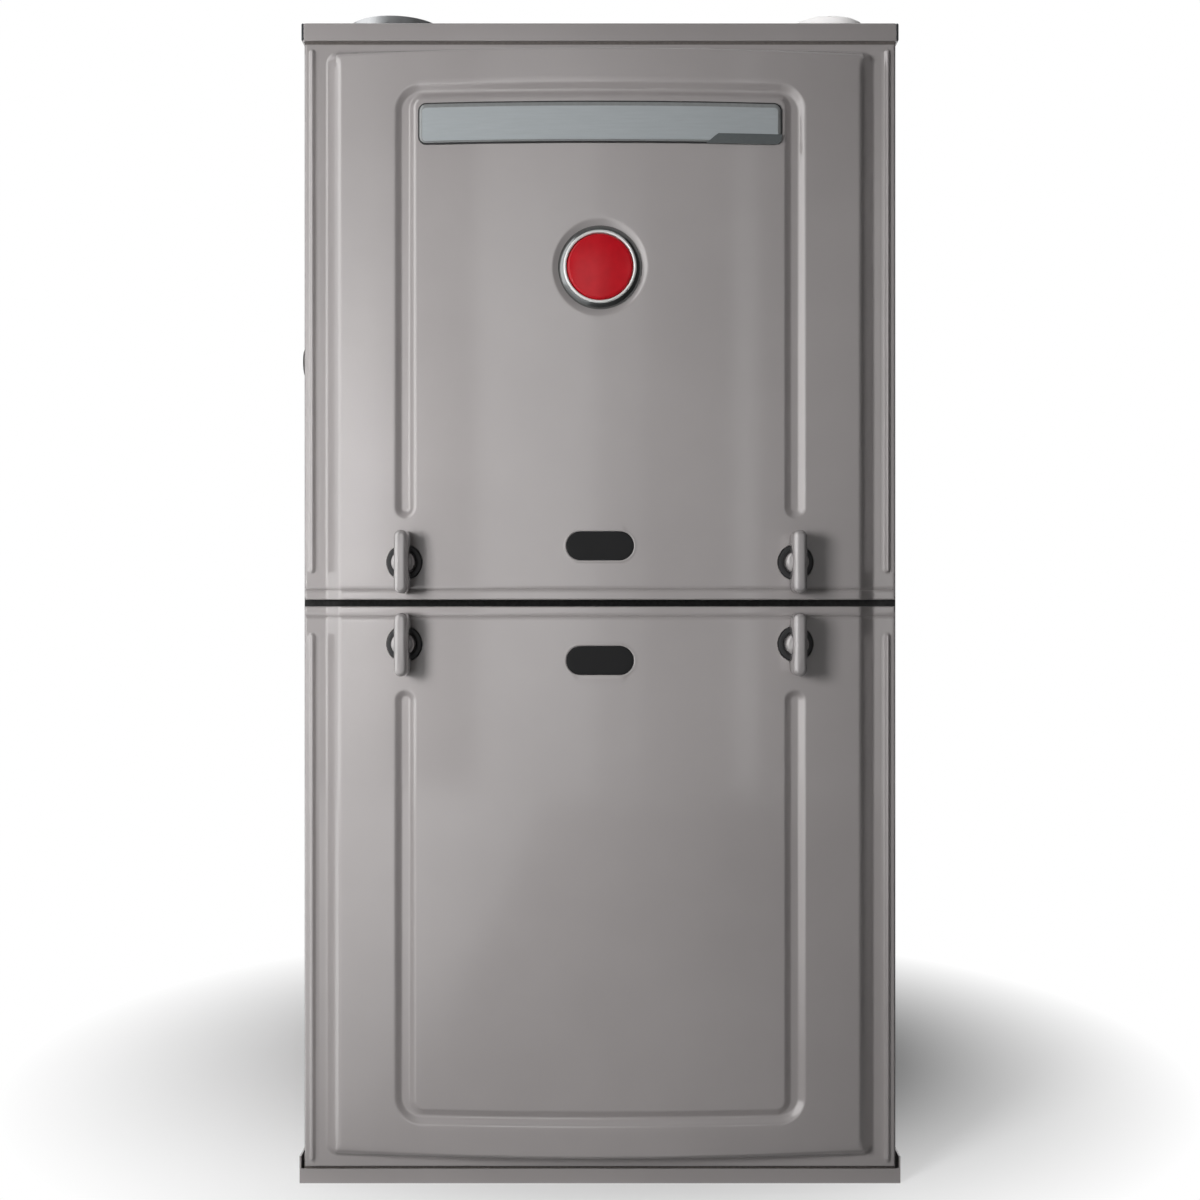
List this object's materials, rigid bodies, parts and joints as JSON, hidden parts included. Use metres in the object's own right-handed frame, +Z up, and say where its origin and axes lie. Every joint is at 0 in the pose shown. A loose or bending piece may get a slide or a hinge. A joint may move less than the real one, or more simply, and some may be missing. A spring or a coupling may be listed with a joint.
{
  "type": "forced air gas furnace",
  "caption": "Upflow two-pipe gas furnace: sheet metal casing, two lift-off doors with quarter-turn latches, gas train, vent fan, heat exchangers and circulation blower.",
  "frame": {"origin": "on the floor, under the middle of the casing", "axes": "+X right, -Y front (the doors), +Z up"},
  "size_m": [0.4569, 0.7682, 0.9019],
  "materials": {
    "casing_paint": "satin metallic",
    "bare_steel": "galvanised",
    "tube_steel": "aluminised",
    "fin_aluminium": "mill",
    "cast_aluminium": "as cast",
    "plate_silver": "satin",
    "badge_red": "gloss enamel",
    "bright_trim": "polished",
    "black_plastic": "moulded",
    "white_plastic": "smooth",
    "black_rubber": "matt",
    "hose_rubber": "smooth",
    "pipe_black": "satin",
    "motor_paint": "satin",
    "orifice_brass": "turned",
    "ceramic_white": null,
    "board_green": "solder mask",
    "switch_red": "moulded",
    "foil_wool": "foil-faced glass wool",
    "seal_foam": "foam"
  },
  "bodies": {
    "cabinet": {"cabinet_wrap": "casing_paint", "top_cap": "casing_paint", "base_pan": "casing_paint", "blower_deck": "bare_steel", "vestibule_panel": "bare_steel", "door_seals": "seal_foam", "intake_collar": "bare_steel", "vent_pipe": "white_plastic", "gas_grommet": "black_rubber", "gas_valve_body": "cast_aluminium", "gas_manifold": "pipe_black", "gas_orifices": "orifice_brass", "burner_box": "bare_steel", "burners": "tube_steel", "igniter": "ceramic_white", "flame_sensor": "ceramic_white", "rollout_switches": "black_plastic", "heat_exchanger_tubes": "tube_steel", "secondary_coil": "fin_aluminium", "collector_box": "black_plastic", "inducer_housing": "black_plastic", "inducer_motor": "motor_paint", "pressure_switch": "black_plastic", "pressure_hose": "hose_rubber", "condensate_trap": "white_plastic", "drain_hose": "black_rubber", "blower_housing": "bare_steel", "blower_motor": "motor_paint", "motor_mount": "motor_paint", "board_tray": "bare_steel", "control_board": "board_green", "transformer": "motor_paint", "door_switch": "white_plastic", "junction_box": "bare_steel", "screws": "bare_steel"},
    "upper_door": {"upper_door": "casing_paint", "name_plate": "plate_silver", "badge_ring": "bright_trim", "badge_disc": "badge_red", "upper_window": "black_plastic", "upper_latch_bezels": "black_plastic"},
    "lower_door": {"lower_door": "casing_paint", "lower_door_insulation": "foil_wool", "lower_window": "black_plastic", "lower_latch_bezels": "black_plastic"},
    "upper_left_latch": {"upper_left_latch_knob": "casing_paint", "upper_left_latch_cam": "bare_steel"},
    "upper_right_latch": {"upper_right_latch_knob": "casing_paint", "upper_right_latch_cam": "bare_steel"},
    "lower_left_latch": {"lower_left_latch_knob": "casing_paint", "lower_left_latch_cam": "bare_steel"},
    "lower_right_latch": {"lower_right_latch_knob": "casing_paint", "lower_right_latch_cam": "bare_steel"},
    "blower_rotor": {"blower_wheel": "bare_steel", "motor_shaft": "bare_steel"},
    "inducer_rotor": {"inducer_wheel": "bare_steel"},
    "valve_switch": {"gas_valve_switch": "switch_red"},
    "left_reset": {"left_reset_button": "switch_red"},
    "right_reset": {"right_reset_button": "switch_red"},
    "switch_plunger": {"door_switch_plunger": "switch_red"}
  },
  "joints": [
    {"name": "upper_door_lift_off", "type": "slide", "parent": "cabinet", "child": "upper_door", "axis": [0, -1, 0], "range_m": [0, 0.3]},
    {"name": "lower_door_lift_off", "type": "slide", "parent": "cabinet", "child": "lower_door", "axis": [0, -1, 0], "range_m": [0, 0.3]},
    {"name": "upper_left_latch_turn", "type": "hinge", "parent": "upper_door", "child": "upper_left_latch", "pos_m": [-0.144, -0.3555, 0.4654], "axis": [0, 1, 0], "range_deg": [0, 90]},
    {"name": "upper_right_latch_turn", "type": "hinge", "parent": "upper_door", "child": "upper_right_latch", "pos_m": [0.144, -0.3555, 0.4654], "axis": [0, -1, 0], "range_deg": [0, 90]},
    {"name": "lower_left_latch_turn", "type": "hinge", "parent": "lower_door", "child": "lower_left_latch", "pos_m": [-0.144, -0.3555, 0.4054], "axis": [0, -1, 0], "range_deg": [0, 90]},
    {"name": "lower_right_latch_turn", "type": "hinge", "parent": "lower_door", "child": "lower_right_latch", "pos_m": [0.144, -0.3555, 0.4054], "axis": [0, 1, 0], "range_deg": [0, 90]},
    {"name": "blower_spin", "type": "hinge", "parent": "cabinet", "child": "blower_rotor", "pos_m": [0, 0.06, 0.212], "axis": [1, 0, 0], "continuous": true},
    {"name": "inducer_spin", "type": "hinge", "parent": "cabinet", "child": "inducer_rotor", "pos_m": [0.12375, -0.2585, 0.6], "axis": [0, 1, 0], "continuous": true},
    {"name": "valve_switch_slide", "type": "slide", "parent": "cabinet", "child": "valve_switch", "axis": [1, 0, 0], "range_m": [0, 0.008]},
    {"name": "left_reset_press", "type": "slide", "parent": "cabinet", "child": "left_reset", "axis": [0, 1, 0], "range_m": [0, 0.0015], "stiffness_N_per_m": 300},
    {"name": "right_reset_press", "type": "slide", "parent": "cabinet", "child": "right_reset", "axis": [0, 1, 0], "range_m": [0, 0.0015], "stiffness_N_per_m": 300},
    {"name": "door_switch_press", "type": "slide", "parent": "cabinet", "child": "switch_plunger", "axis": [0, 1, 0], "range_m": [0, 0.004], "stiffness_N_per_m": 200}
  ]
}
